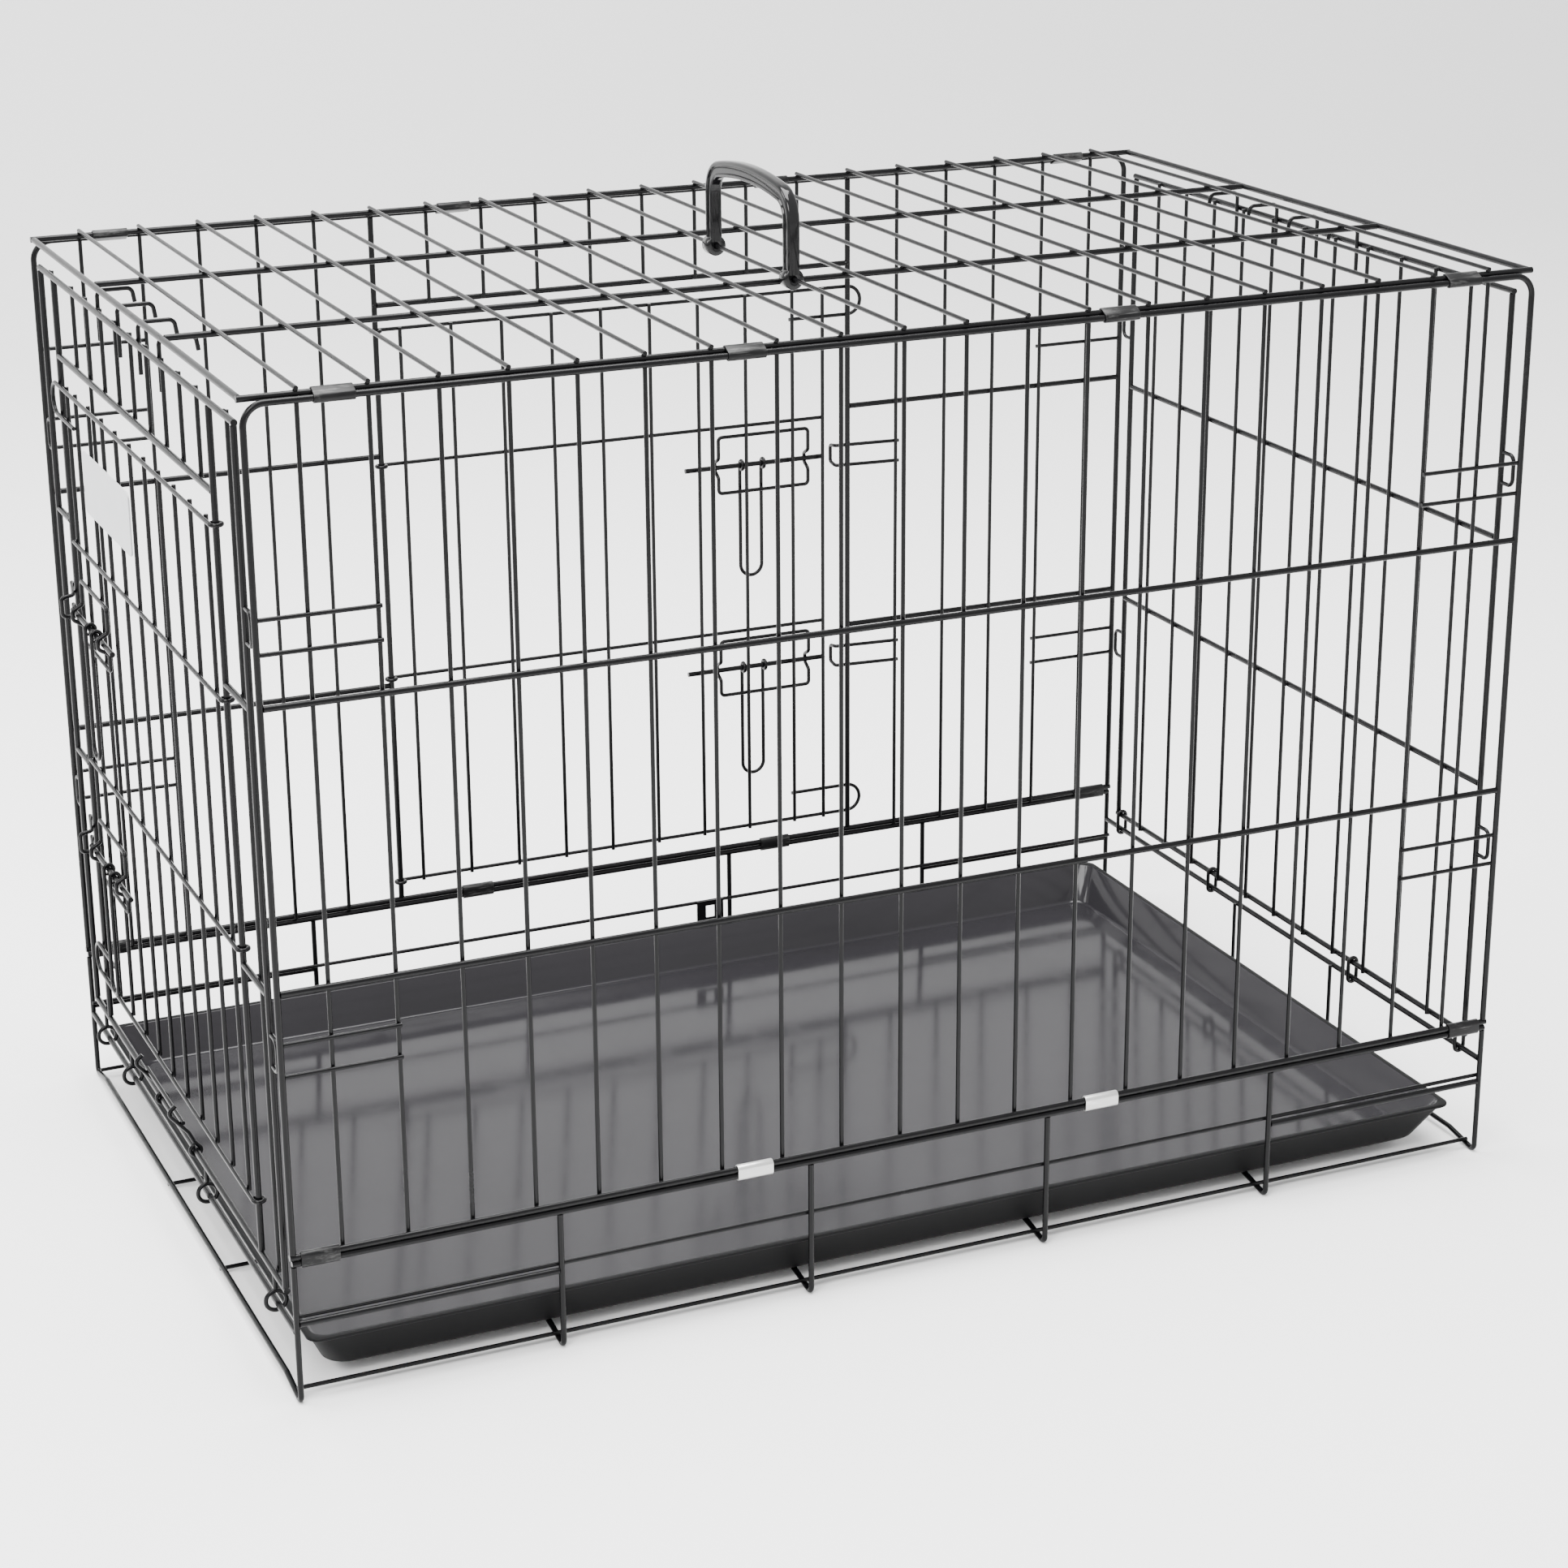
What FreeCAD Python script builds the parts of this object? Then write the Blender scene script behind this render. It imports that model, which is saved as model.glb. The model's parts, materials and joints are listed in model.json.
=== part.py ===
import FreeCAD, Part
import math
import os

# Folding wire dog crate. The frame's origin is on the floor, under the middle of the crate's outline.
# +X runs along the length towards the plain end, +Y from the front side to the side with the big
# door, and +Z up. Every size is in millimetres.

os.makedirs("parts", exist_ok=True)
doc = FreeCAD.newDocument("wire_dog_crate")
V = FreeCAD.Vector
UP = V(0, 0, 1)

# ---------------------------------------------------------------------------------- driving sizes
DRIVING_SIZES = {
    "crate_length": 914.0,      # between the corner posts' centres, along X
    "crate_depth": 576.0,       # between the front and rear panels' planes, along Y
    "crate_height": 667.0,      # floor to the side panels' top wires
    "left_proud": 18.41,        # how far fittings stand out of each side's plane
    "right_proud": 5.3,
    "front_proud": 3.3,
    "rear_proud": 15.5,
    "frame_wire": 4.4,          # gauges, as diameters
    "base_wire": 4.0,
    "fill_wire": 3.0,
    "bolt_wire": 4.0,
    "fill_pitch": 44.5,         # between neighbouring fill wires
    "first_fill": 34.3,         # corner post to the first fill wire
    "corner_bend": 14.0,        # the side panels' rounded top corners
    "weld": 0.05,               # how deep crossing wires are pressed into each other
    "run_gap": 0.1,             # radial play of a wire eye on the wire it turns on
    "flange_top": 102.0,        # top wire of the base's upstand
    "flange_middle": 62.0,
    "panel_bottom": 106.7,      # bottom wire of the side panels
    "bar_low": 290.0,           # cross bars of the side panels
    "bar_high": 478.0,
    "floor_wire_height": 7.0,
    "post_pitch": 182.8,
    "foot_reach": 33.0,
    "left_hinge_height": 52.0,  # the base's end wires that the end panels turn on
    "right_hinge_height": 76.0,
    "edge_inset": 22.0,         # corner post's plane to an end panel's edge wire
    "end_panel_top": 652.0,
    "left_panel_bottom": 73.0,
    "right_panel_bottom": 88.65,
    "top_lift": 2.6,            # the top panel's frame over the side panels' top wires
    "top_inset": 4.9,
    "clip_wall": 1.0,
    "clip_length": 26.0,
    "tray_front": 9.0,          # left hinge plane to the tray's rim
    "tray_length": 886.0,
    "tray_width": 565.0,
    "tray_bottom": 9.6,
    "tray_top": 41.0,
    "tray_wall": 2.2,
    "tray_lip": 3.0,
    "tray_flare": 14.0,
    "tray_corner": 9.0,
    "handle_height": 61.0,
    "handle_foot_gap": 136.0,
    "handle_foot_radius": 7.5,
    "handle_foot_width": 11.0,
    "handle_half_width": 4.6,
    "handle_half_depth": 6.0,
    "plate_width": 137.0,
    "plate_height": 45.0,
    "plate_thickness": 1.2,
    "plate_corner": 5.0,
    "paddle_length": 86.0,
    "paddle_width": 19.0,
    "bolt_length": 124.0,
    "catch_width": 24.0,
    "catch_drop": 18.0,
    "catch_thickness": 1.6,
}

sheet = doc.addObject("Spreadsheet::Sheet", "sizes")
for row, (alias, number) in enumerate(DRIVING_SIZES.items(), start=1):
    sheet.set(f"A{row}", alias)
    sheet.set(f"B{row}", str(number))
    sheet.setAlias(f"B{row}", alias)
doc.recompute()


def size(alias):
    """A driving size, read back from the sheet."""
    return float(sheet.get(alias))


LENGTH = size("crate_length")
DEPTH = size("crate_depth")
TOP = size("crate_height")
FRAME_R = size("frame_wire") / 2
BASE_R = size("base_wire") / 2
FILL_R = size("fill_wire") / 2
BOLT_R = size("bolt_wire") / 2
WELD = size("weld")
GAP = size("run_gap")
PITCH = size("fill_pitch")

# the planes of the four sides: where each starts, which way it runs, and which way is out
LEFT_X = size("left_proud") - (LENGTH + size("left_proud") + size("right_proud")) / 2
FRONT_Y = size("front_proud") - (DEPTH + size("front_proud") + size("rear_proud")) / 2


class Side:
    """A side of the crate, with u along it, v up and w outwards from its plane."""

    def __init__(self, x, y, along, out):
        self.start = V(x, y, 0)
        self.along = along
        self.out = out

    def at(self, u, v, w=0.0):
        return self.start + self.along * u + UP * v + self.out * w


FRONT = Side(LEFT_X, FRONT_Y, V(1, 0, 0), V(0, -1, 0))
REAR = Side(LEFT_X, FRONT_Y + DEPTH, V(1, 0, 0), V(0, 1, 0))
LEFT = Side(LEFT_X, FRONT_Y, V(0, 1, 0), V(-1, 0, 0))
RIGHT = Side(LEFT_X + LENGTH, FRONT_Y, V(0, 1, 0), V(1, 0, 0))


# ------------------------------------------------------------------------------- ways of making
def rod(start, end, gauge):
    """A straight wire between two points."""
    wire = doc.addObject("Part::Cylinder", "wire")
    wire.setExpression("Radius", f"sizes.{gauge} / 2")
    wire.Height = (end - start).Length
    wire.Placement = FreeCAD.Placement(start, FreeCAD.Rotation(UP, end - start))
    return wire


def ring(centre, axis, ring_radius, gauge):
    """A closed wire ring about an axis."""
    loop = doc.addObject("Part::Torus", "ring")
    loop.Radius1 = ring_radius
    loop.setExpression("Radius2", f"sizes.{gauge} / 2")
    loop.Placement = FreeCAD.Placement(centre, FreeCAD.Rotation(UP, axis))
    return loop


def bends(points, radius):
    """The edges of a route through the points, with every corner rounded."""
    edges = []
    begin = points[0]
    for before, corner, after in zip(points, points[1:], points[2:]):
        inward = (before - corner).normalize()
        onward = (after - corner).normalize()
        half_turn = (math.pi - inward.getAngle(onward)) / 2
        reach = radius * math.tan(half_turn)
        arc_start = corner + inward * reach
        arc_end = corner + onward * reach
        middle_way = (inward + onward).normalize()
        arc_middle = corner + middle_way * (radius / math.cos(half_turn) - radius)
        if (arc_start - begin).Length > 1e-6:
            edges.append(Part.LineSegment(begin, arc_start).toShape())
        edges.append(Part.Arc(arc_start, arc_middle, arc_end).toShape())
        begin = arc_end
    edges.append(Part.LineSegment(begin, points[-1]).toShape())
    return edges


def bent(edges, gauge):
    """A bent wire swept along a route of joined edges."""
    route = doc.addObject("Part::Feature", "route")
    route.Shape = Part.Wire(edges)
    first = edges[0]
    start = first.valueAt(first.FirstParameter)
    section = doc.addObject("Part::Circle", "section")
    section.setExpression("Radius", f"sizes.{gauge} / 2")
    section.Placement = FreeCAD.Placement(
        start, FreeCAD.Rotation(UP, first.tangentAt(first.FirstParameter))
    )
    wire = doc.addObject("Part::Sweep", "bent_wire")
    wire.Sections = [section]
    wire.Spine = (route, [f"Edge{n}" for n in range(1, len(edges) + 1)])
    wire.Solid = True
    return wire


def curl(centre, towards, sideways, radius, first_angle, last_angle):
    """An arc about a centre; the angle is counted from towards, turning to sideways."""

    def spot(degrees):
        angle = math.radians(degrees)
        return centre + towards * (radius * math.cos(angle)) + sideways * (radius * math.sin(angle))

    return Part.Arc(spot(first_angle), spot((first_angle + last_angle) / 2), spot(last_angle)).toShape()


subparts = []


def piece(label, solids):
    """One named sub-part: a group of separate solids, or one shape."""
    if len(solids) == 1:
        group = solids[0]
    else:
        group = doc.addObject("Part::Compound", label)
        group.Links = solids
    group.Label = label
    subparts.append(group)


# ------------------------------------------------------------------------------------------ base
# The base tray frame: heavy cross wires that turn up at the front and rear, with a dip for a foot
# at each turn, joined by side wires. Its two raised end wires carry the end panels.
POSTS = [size("post_pitch") * n for n in range(6)]
FLOOR = size("floor_wire_height")
FOOT_TOP = 14.0
FOOT_BEND = 4.0
FLANGE_TOP = size("flange_top")
FLANGE_MIDDLE = size("flange_middle")
FOOT_REACH = size("foot_reach")
FOOT_RUN = FOOT_REACH + 12.0
FOOT_LOW = BASE_R
for settle in range(20):
    foot_slope = math.atan2(FLOOR - FOOT_LOW, FOOT_REACH)
    FOOT_LOW = BASE_R - FOOT_BEND * (math.tan((math.pi / 2 + foot_slope) / 2) - 1)
LONG_WIRES = (201.0, 348.0)
LONG_HEIGHT = FLOOR - BASE_R - FILL_R + WELD

floor_runs = []
posts = []
feet = []
for u in POSTS:
    near = FRONT.at(u, FLOOR, -FOOT_RUN)
    floor_runs.append(rod(near, REAR.at(u, FLOOR, -FOOT_RUN), "base_wire"))
    for side in (FRONT, REAR):
        posts.append(rod(side.at(u, FOOT_TOP), side.at(u, FLANGE_TOP - FRAME_R + WELD), "base_wire"))
        foot_route = [
            side.at(u, FOOT_TOP),
            side.at(u, FOOT_LOW),
            side.at(u, FLOOR, -FOOT_REACH),
            side.at(u, FLOOR, -FOOT_RUN),
        ]
        feet.append(bent(bends(foot_route, FOOT_BEND), "base_wire"))
for depth in LONG_WIRES:
    floor_runs.append(rod(LEFT.at(depth, LONG_HEIGHT, 1), RIGHT.at(depth, LONG_HEIGHT, -1), "fill_wire"))
piece("base_floor_wires", floor_runs)
piece("base_posts", posts)
piece("base_feet", feet)

SIDE_FLOOR_IN = 10.0
SIDE_FLOOR_HEIGHT = (FOOT_LOW + SIDE_FLOOR_IN * math.tan(foot_slope)
                     + (BASE_R + FILL_R - WELD) / math.cos(foot_slope))
side_rails = []
for side in (FRONT, REAR):
    inside = -(BASE_R + FILL_R - WELD)
    side_rails.append(rod(side.at(-1, FLANGE_TOP), side.at(LENGTH + 1, FLANGE_TOP), "frame_wire"))
    side_rails.append(rod(side.at(-1, FLANGE_MIDDLE, inside), side.at(LENGTH + 1, FLANGE_MIDDLE, inside),
                          "fill_wire"))
    side_rails.append(rod(side.at(0, SIDE_FLOOR_HEIGHT, -SIDE_FLOOR_IN),
                          side.at(LENGTH, SIDE_FLOOR_HEIGHT, -SIDE_FLOOR_IN), "fill_wire"))
    stiffener = FLANGE_MIDDLE - 3.6
    for first, last in ((POSTS[0], POSTS[1]), (POSTS[4], POSTS[5])):
        side_rails.append(rod(side.at(first + BASE_R - WELD, stiffener),
                              side.at(last - BASE_R + WELD, stiffener), "frame_wire"))
piece("base_side_rails", side_rails)

LEFT_HINGE = size("left_hinge_height")
RIGHT_HINGE = size("right_hinge_height")
for label, side, height in (("left_hinge_wire", LEFT, LEFT_HINGE), ("right_hinge_wire", RIGHT, RIGHT_HINGE)):
    piece(label, [rod(side.at(BASE_R - WELD, height), side.at(DEPTH - BASE_R + WELD, height), "frame_wire")])
prop_inset = FRAME_R + FILL_R - WELD
# A slotted sheet steel catch that hangs on the rear middle wire.
CATCH_U = 516.0
catch_blank = doc.addObject("Part::Box", "catch_blank")
catch_blank.setExpression("Length", "sizes.catch_width")
catch_blank.setExpression("Width", "sizes.catch_thickness")
catch_blank.setExpression("Height", "sizes.catch_drop")
catch_slot = doc.addObject("Part::Box", "catch_slot")
catch_slot.setExpression("Length", "sizes.catch_width / 3")
catch_slot.setExpression("Width", "sizes.catch_thickness + 2")
catch_slot.setExpression("Height", "sizes.catch_drop * 0.6")
catch_slot.Placement.Base = V(size("catch_width") / 3, -1, size("catch_drop") * 0.15)
catch = doc.addObject("Part::Cut", "rear_catch")
catch.Base = catch_blank
catch.Tool = catch_slot
catch_depth = -(BASE_R + 2 * FILL_R - WELD) - size("catch_thickness") + 0.01
catch.Placement.Base = REAR.at(CATCH_U, FLANGE_MIDDLE + FILL_R - size("catch_drop"), catch_depth)
piece("rear_catch", [catch])
piece("right_end_props", [
    rod(RIGHT.at(depth, LONG_HEIGHT + FILL_R - WELD, -prop_inset), RIGHT.at(depth, RIGHT_HINGE + 1, -prop_inset),
        "fill_wire")
    for depth in LONG_WIRES
])

# ----------------------------------------------------------------------------------- side panels
# Front and rear panels: a heavy frame with rounded top corners, two cross bars, thin fill wires
# welded on the inside, and short pairs of wires at the corners that the end panels' ears lie by.
PANEL_BOTTOM = size("panel_bottom")
BARS = (size("bar_low"), size("bar_high"))
CORNER = size("corner_bend")
FILLS = [size("first_fill") + PITCH * n for n in range(20)]
FILL_IN = -(FRAME_R + FILL_R - WELD)
PAIRS = (233.0, 255.0, 512.0, 534.0)
PAIR_W = FILL_IN + 2 * FILL_R - WELD
BUTT = FRAME_R - WELD


def corner_arc(side, u, v, first_angle):
    """A quarter turn of frame wire at a panel's rounded corner, with its centre at u, v."""
    arc = curl(side.at(u, v), side.along, UP, CORNER, first_angle, first_angle + 90)
    return bent([arc], "frame_wire")


def panel_outline(side):
    wires = [
        rod(side.at(0, PANEL_BOTTOM + BUTT), side.at(0, TOP - CORNER), "frame_wire"),
        rod(side.at(LENGTH, PANEL_BOTTOM + BUTT), side.at(LENGTH, TOP - CORNER), "frame_wire"),
        rod(side.at(CORNER, TOP), side.at(LENGTH - CORNER, TOP), "frame_wire"),
        rod(side.at(-FRAME_R, PANEL_BOTTOM), side.at(LENGTH + FRAME_R, PANEL_BOTTOM), "frame_wire"),
        corner_arc(side, CORNER, TOP - CORNER, 90),
        corner_arc(side, LENGTH - CORNER, TOP - CORNER, 0),
    ]
    second = FILLS[1] + FILL_R
    for v in PAIRS:
        wires.append(rod(side.at(BUTT, v, PAIR_W), side.at(second, v, PAIR_W), "fill_wire"))
        wires.append(rod(side.at(LENGTH - second, v, PAIR_W), side.at(LENGTH - BUTT, v, PAIR_W), "fill_wire"))
    return wires


def fill(side, u, low, high):
    return rod(side.at(u, low - 1, FILL_IN), side.at(u, high - 1, FILL_IN), "fill_wire")


front_wires = panel_outline(FRONT)
front_wires += [rod(FRONT.at(BUTT, v), FRONT.at(LENGTH - BUTT, v), "frame_wire") for v in BARS]
front_wires += [fill(FRONT, u, PANEL_BOTTOM, TOP) for u in FILLS]
piece("front_panel", front_wires)

# The rear panel has a doorway: a hinge post, a latch post set in a little, and a header.
HINGE_U = 258.0
LATCH_U = 659.0
HEADER = 597.0
LATCH_IN = -0.4
rear_wires = panel_outline(REAR)
for u, w in ((HINGE_U, 0.0), (LATCH_U, LATCH_IN)):
    rear_wires.append(rod(REAR.at(u, PANEL_BOTTOM + BUTT, w), REAR.at(u, TOP - BUTT, w), "frame_wire"))
rear_wires.append(rod(REAR.at(HINGE_U + BUTT, HEADER), REAR.at(LATCH_U - BUTT, HEADER), "frame_wire"))
for v in BARS:
    rear_wires.append(rod(REAR.at(BUTT, v), REAR.at(HINGE_U - BUTT, v), "frame_wire"))
    rear_wires.append(rod(REAR.at(LATCH_U + BUTT, v), REAR.at(LENGTH - BUTT, v), "frame_wire"))
for u in FILLS:
    if u < HINGE_U - 5 or u > LATCH_U + 5:
        rear_wires.append(fill(REAR, u, PANEL_BOTTOM, TOP))
    elif HINGE_U + 5 < u < LATCH_U - 5:
        rear_wires.append(fill(REAR, u, HEADER, TOP))
rear_wires.append(rod(REAR.at(BUTT, 587.0, PAIR_W), REAR.at(FILLS[1] + FILL_R, 587.0, PAIR_W), "fill_wire"))
piece("rear_panel", rear_wires)

# ------------------------------------------------------------------------------------- top panel
# The top panel: a frame that lies just inside and above the side panels' top wires, two long
# wires, and cross wires welded on top, whose ends stand a little over the frame.
TOP_FRAME = TOP + size("top_lift")
TOP_INSET = size("top_inset")
TOP_CROSS = TOP_FRAME + FRAME_R + FILL_R - WELD
TOP_LONGS = (192.0, 384.0)
top_wires = []
for y in (TOP_INSET, DEPTH - TOP_INSET):
    top_wires.append(rod(LEFT.at(y, TOP_FRAME, FRAME_R), RIGHT.at(y, TOP_FRAME, FRAME_R), "frame_wire"))
for y in TOP_LONGS:
    top_wires.append(rod(LEFT.at(y, TOP_FRAME, -BUTT), RIGHT.at(y, TOP_FRAME, -BUTT), "frame_wire"))
for side in (LEFT, RIGHT):
    top_wires.append(rod(side.at(TOP_INSET + BUTT, TOP_FRAME), side.at(DEPTH - TOP_INSET - BUTT, TOP_FRAME),
                         "frame_wire"))
for u in FILLS:
    top_wires.append(rod(FRONT.at(u, TOP_CROSS, -TOP_INSET + 2), REAR.at(u, TOP_CROSS, -TOP_INSET + 2),
                         "fill_wire"))
piece("top_panel", top_wires)

# ---------------------------------------------------------------------------------- hinge clips
# Sheet steel clips folded round the two wires of each folding seam.
CLIP_IN = FRAME_R + GAP
CLIP_OUT = CLIP_IN + size("clip_wall")


def slot_outline(start, end, radius, along):
    """A closed outline of two half circles and two straights, about the line from start to end."""
    way = (end - start).normalize()
    across = along.cross(way).normalize()
    return Part.Wire([
        Part.LineSegment(start + across * radius, end + across * radius).toShape(),
        Part.Arc(end + across * radius, end + way * radius, end - across * radius).toShape(),
        Part.LineSegment(end - across * radius, start - across * radius).toShape(),
        Part.Arc(start - across * radius, start - way * radius, start + across * radius).toShape(),
    ])


def clip(side, u_middle, lower, upper):
    """A folded clip about two parallel wires, given as (v, w) pairs."""
    solids = []
    for radius in (CLIP_OUT, CLIP_IN):
        face = doc.addObject("Part::Feature", "clip_outline")
        u = u_middle - size("clip_length") / 2
        ends = side.at(u, *lower), side.at(u, *upper)
        face.Shape = Part.Face(slot_outline(*ends, radius, side.along))
        block = doc.addObject("Part::Extrusion", "clip_block")
        block.Base = face
        block.DirMode = "Custom"
        block.Dir = side.along
        block.setExpression("LengthFwd", "sizes.clip_length")
        solids.append(block)
    folded = doc.addObject("Part::Cut", "clip")
    folded.Base, folded.Tool = solids
    return folded


def cell_middle(n):
    """The middle between fill wires n - 1 and n."""
    return (FILLS[n - 1] + FILLS[n]) / 2


TOP_SEAM = ((TOP, 0.0), (TOP_FRAME, -TOP_INSET))
BASE_SEAM = ((FLANGE_TOP, 0.0), (PANEL_BOTTOM, 0.0))
TOP_CLIPS = [cell_middle(n) for n in (1, 7, 13, 19)]
BASE_CLIPS = [18.0, cell_middle(7), cell_middle(13), LENGTH - 18.0]
piece("top_front_clips", [clip(FRONT, u, *TOP_SEAM) for u in TOP_CLIPS])
piece("top_rear_clips", [clip(REAR, u, *TOP_SEAM) for u in TOP_CLIPS])
piece("base_front_clips", [clip(FRONT, u, *BASE_SEAM) for u in BASE_CLIPS])
piece("base_rear_clips", [clip(REAR, u, *BASE_SEAM) for u in BASE_CLIPS])

# ----------------------------------------------------------------------------------------- doors
# A door hangs on wire eyes curled round a hinge post. Its heavy end wires turn back in an ear that
# lies outside the latch post, and two slide bolts run in bent wire guides on its face.
EYE_R = FRAME_R + FILL_R + GAP
DOOR_W = EYE_R
DOOR_FILL_W = DOOR_W - 2 * FILL_R + WELD
EAR_BEND = 11.5
EAR_REACH = 13.0
BOLT_W = 7.8
GUIDE_WIDTH = 80.0
GUIDE_UP = 26.0
GUIDE_DOWN = 21.0
KINK_W = BOLT_W + BOLT_R + FILL_R + 0.4
PADDLE_EYE = BOLT_R + FILL_R + GAP


def door_bar(side, hinge_u, v, end_u, ear=0):
    """A door's cross wire, from its eye on the hinge post to its end; ear turns it back up or down."""
    eye = curl(side.at(hinge_u, v), side.out, -side.along, EYE_R, 300, 0)
    start = side.at(hinge_u, v, DOOR_W)
    if not ear:
        return [bent([eye], "fill_wire"), rod(start, side.at(end_u, v, DOOR_W), "fill_wire")]
    tip = side.at(end_u - EAR_BEND, v, DOOR_W)
    turned = side.at(end_u - EAR_BEND, v + ear * 2 * EAR_BEND, DOOR_W)
    turn = Part.Arc(tip, side.at(end_u, v + ear * EAR_BEND, DOOR_W), turned).toShape()
    back = rod(turned, turned - side.along * 52.0, "fill_wire")
    return [bent([eye], "fill_wire"), rod(start, tip, "fill_wire"), bent([turn], "fill_wire"), back]


def door_wires(side, hinge_u, latch_u, heights):
    """All wires of one door, between its hinge post and latch post."""
    low, high = heights[0], heights[-1]
    edge = latch_u - 22.0
    wires = door_bar(side, hinge_u, low, latch_u + EAR_REACH, ear=1)
    wires += door_bar(side, hinge_u, high, latch_u + EAR_REACH, ear=-1)
    for v in heights[1:-1]:
        wires += door_bar(side, hinge_u, v, edge + FILL_R)
    count = round((edge - hinge_u - 47.0) / 41.5) + 1
    spacing = (edge - hinge_u - 47.0) / (count - 1)
    for u in [hinge_u + 20.0 + spacing * n for n in range(count)] + [edge]:
        wires.append(rod(side.at(u, low - FILL_R, DOOR_FILL_W), side.at(u, high + FILL_R, DOOR_FILL_W),
                         "fill_wire"))
    return wires


def bolt_guide(side, latch_u, v):
    """A rounded loop of wire on the door's face, kinked outwards where the bolt passes under it."""
    right = latch_u - 34.0
    left = right - GUIDE_WIDTH
    middle = (left + right) / 2
    high = v + GUIDE_UP
    low = v - GUIDE_DOWN
    kink = ((8.0, DOOR_W), (3.5, KINK_W), (-3.5, KINK_W), (-8.0, DOOR_W))
    route = [side.at(middle, high, DOOR_W), side.at(right, high, DOOR_W)]
    route += [side.at(right, v + rise, w) for rise, w in kink]
    route += [side.at(right, low, DOOR_W), side.at(left, low, DOOR_W)]
    route += [side.at(left, v + rise, w) for rise, w in reversed(kink)]
    route += [side.at(left, high, DOOR_W), side.at(middle, high, DOOR_W)]
    return bent(bends(route, 3.2), "fill_wire")


def slide_bolt(side, latch_u, v):
    tip = latch_u - 18.0
    bolt = rod(side.at(tip - size("bolt_length"), v, BOLT_W), side.at(tip, v, BOLT_W), "bolt_wire")
    bolt.setExpression("Height", "sizes.bolt_length")
    return bolt


def paddle(side, latch_u, v):
    """The pull: a long U of wire, each end curled round the bolt."""
    right = latch_u - 73.0
    left = right - size("paddle_width")
    out = BOLT_W + PADDLE_EYE
    bottom = v - size("paddle_length")
    bend = size("paddle_width") / 2
    middle = (left + right) / 2
    edges = [
        curl(side.at(left, v, BOLT_W), side.out, UP, PADDLE_EYE, 300, 0),
        Part.LineSegment(side.at(left, v, out), side.at(left, bottom, out)).toShape(),
        Part.Arc(side.at(left, bottom, out), side.at(middle, bottom - bend, out),
                 side.at(right, bottom, out)).toShape(),
        Part.LineSegment(side.at(right, bottom, out), side.at(right, v, out)).toShape(),
        curl(side.at(right, v, BOLT_W), side.out, UP, PADDLE_EYE, 0, 300),
    ]
    return bent(edges, "fill_wire")


def keeper(side, latch_u, v, outer_u):
    """A U of wire on the latch post that the bolt slides into."""
    half = 8.5
    bow = 14.0
    nose = latch_u - 9.0
    on_post = LATCH_IN + FRAME_R + FILL_R - WELD
    on_fill = FILL_IN + 2 * FILL_R - WELD
    slope = (on_post - on_fill) / (outer_u - latch_u)
    root_w = on_post + slope * 9.0
    end_w = on_fill - slope * 4.0
    route = [
        side.at(outer_u + 4.0, v + half, end_w),
        side.at(nose, v + half, root_w),
        side.at(nose, v + half - 1.5, bow),
        side.at(nose, v - half + 1.5, bow),
        side.at(nose, v - half, root_w),
        side.at(outer_u + 4.0, v - half, end_w),
    ]
    return bent(bends(route, 2.8), "fill_wire")


REAR_DOOR_BARS = (122.0, 295.5, 470.0, 577.0)
REAR_BOLTS = {"upper": 436.0, "lower": 262.0}
piece("rear_door", door_wires(REAR, HINGE_U, LATCH_U, REAR_DOOR_BARS))
piece("rear_door_guides", [bolt_guide(REAR, LATCH_U, v) for v in REAR_BOLTS.values()])
piece("rear_door_keepers", [keeper(REAR, LATCH_U, v, FILLS[15]) for v in REAR_BOLTS.values()])
for place, v in REAR_BOLTS.items():
    piece(f"rear_{place}_bolt", [slide_bolt(REAR, LATCH_U, v)])
    piece(f"rear_{place}_paddle", [paddle(REAR, LATCH_U, v)])

# ------------------------------------------------------------------------------------ end panels
# Each end panel turns inwards on loose wire rings about the base's end wire. Hooks at its top lie
# under the top panel's end wire, and ears at its edges lie behind the side panels' short pairs.
EDGES = (size("edge_inset"), DEPTH - size("edge_inset"))
END_TOP = size("end_panel_top")
HOOKS = (214.5, 270.0, 328.0, 387.0)
HOOK_APEX = 664.9
EAR_U = 7.7


def end_outline(side, bottom):
    first, last = EDGES
    return [
        rod(side.at(first - FRAME_R, bottom), side.at(last + FRAME_R, bottom), "frame_wire"),
        rod(side.at(first - FRAME_R, END_TOP), side.at(last + FRAME_R, END_TOP), "frame_wire"),
        rod(side.at(first, bottom + BUTT), side.at(first, END_TOP - BUTT), "frame_wire"),
        rod(side.at(last, bottom + BUTT), side.at(last, END_TOP - BUTT), "frame_wire"),
    ]


def top_hooks(side):
    hooks = []
    for u in HOOKS:
        route = [side.at(u, 630.0, FILL_IN), side.at(u, HOOK_APEX, FILL_IN), side.at(u, HOOK_APEX, -28.0),
                 side.at(u, 655.0, -29.5)]
        hooks.append(bent(bends(route, 4.5), "fill_wire"))
    return hooks


def edge_ears(side):
    ears = []
    for low, high in ((PAIRS[0], PAIRS[1]), (PAIRS[2] + 3, PAIRS[3] + 3)):
        for edge, out_u in ((EDGES[0] - BUTT, EAR_U), (EDGES[1] + BUTT, DEPTH - EAR_U)):
            route = [side.at(edge, high), side.at(out_u, high), side.at(out_u, low), side.at(edge, low)]
            ears.append(bent(bends(route, 5.0), "fill_wire"))
    return ears


def inner_fill(side, u, low, high):
    return rod(side.at(u, low - 1, FILL_IN), side.at(u, high + 1, FILL_IN), "fill_wire")


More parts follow.
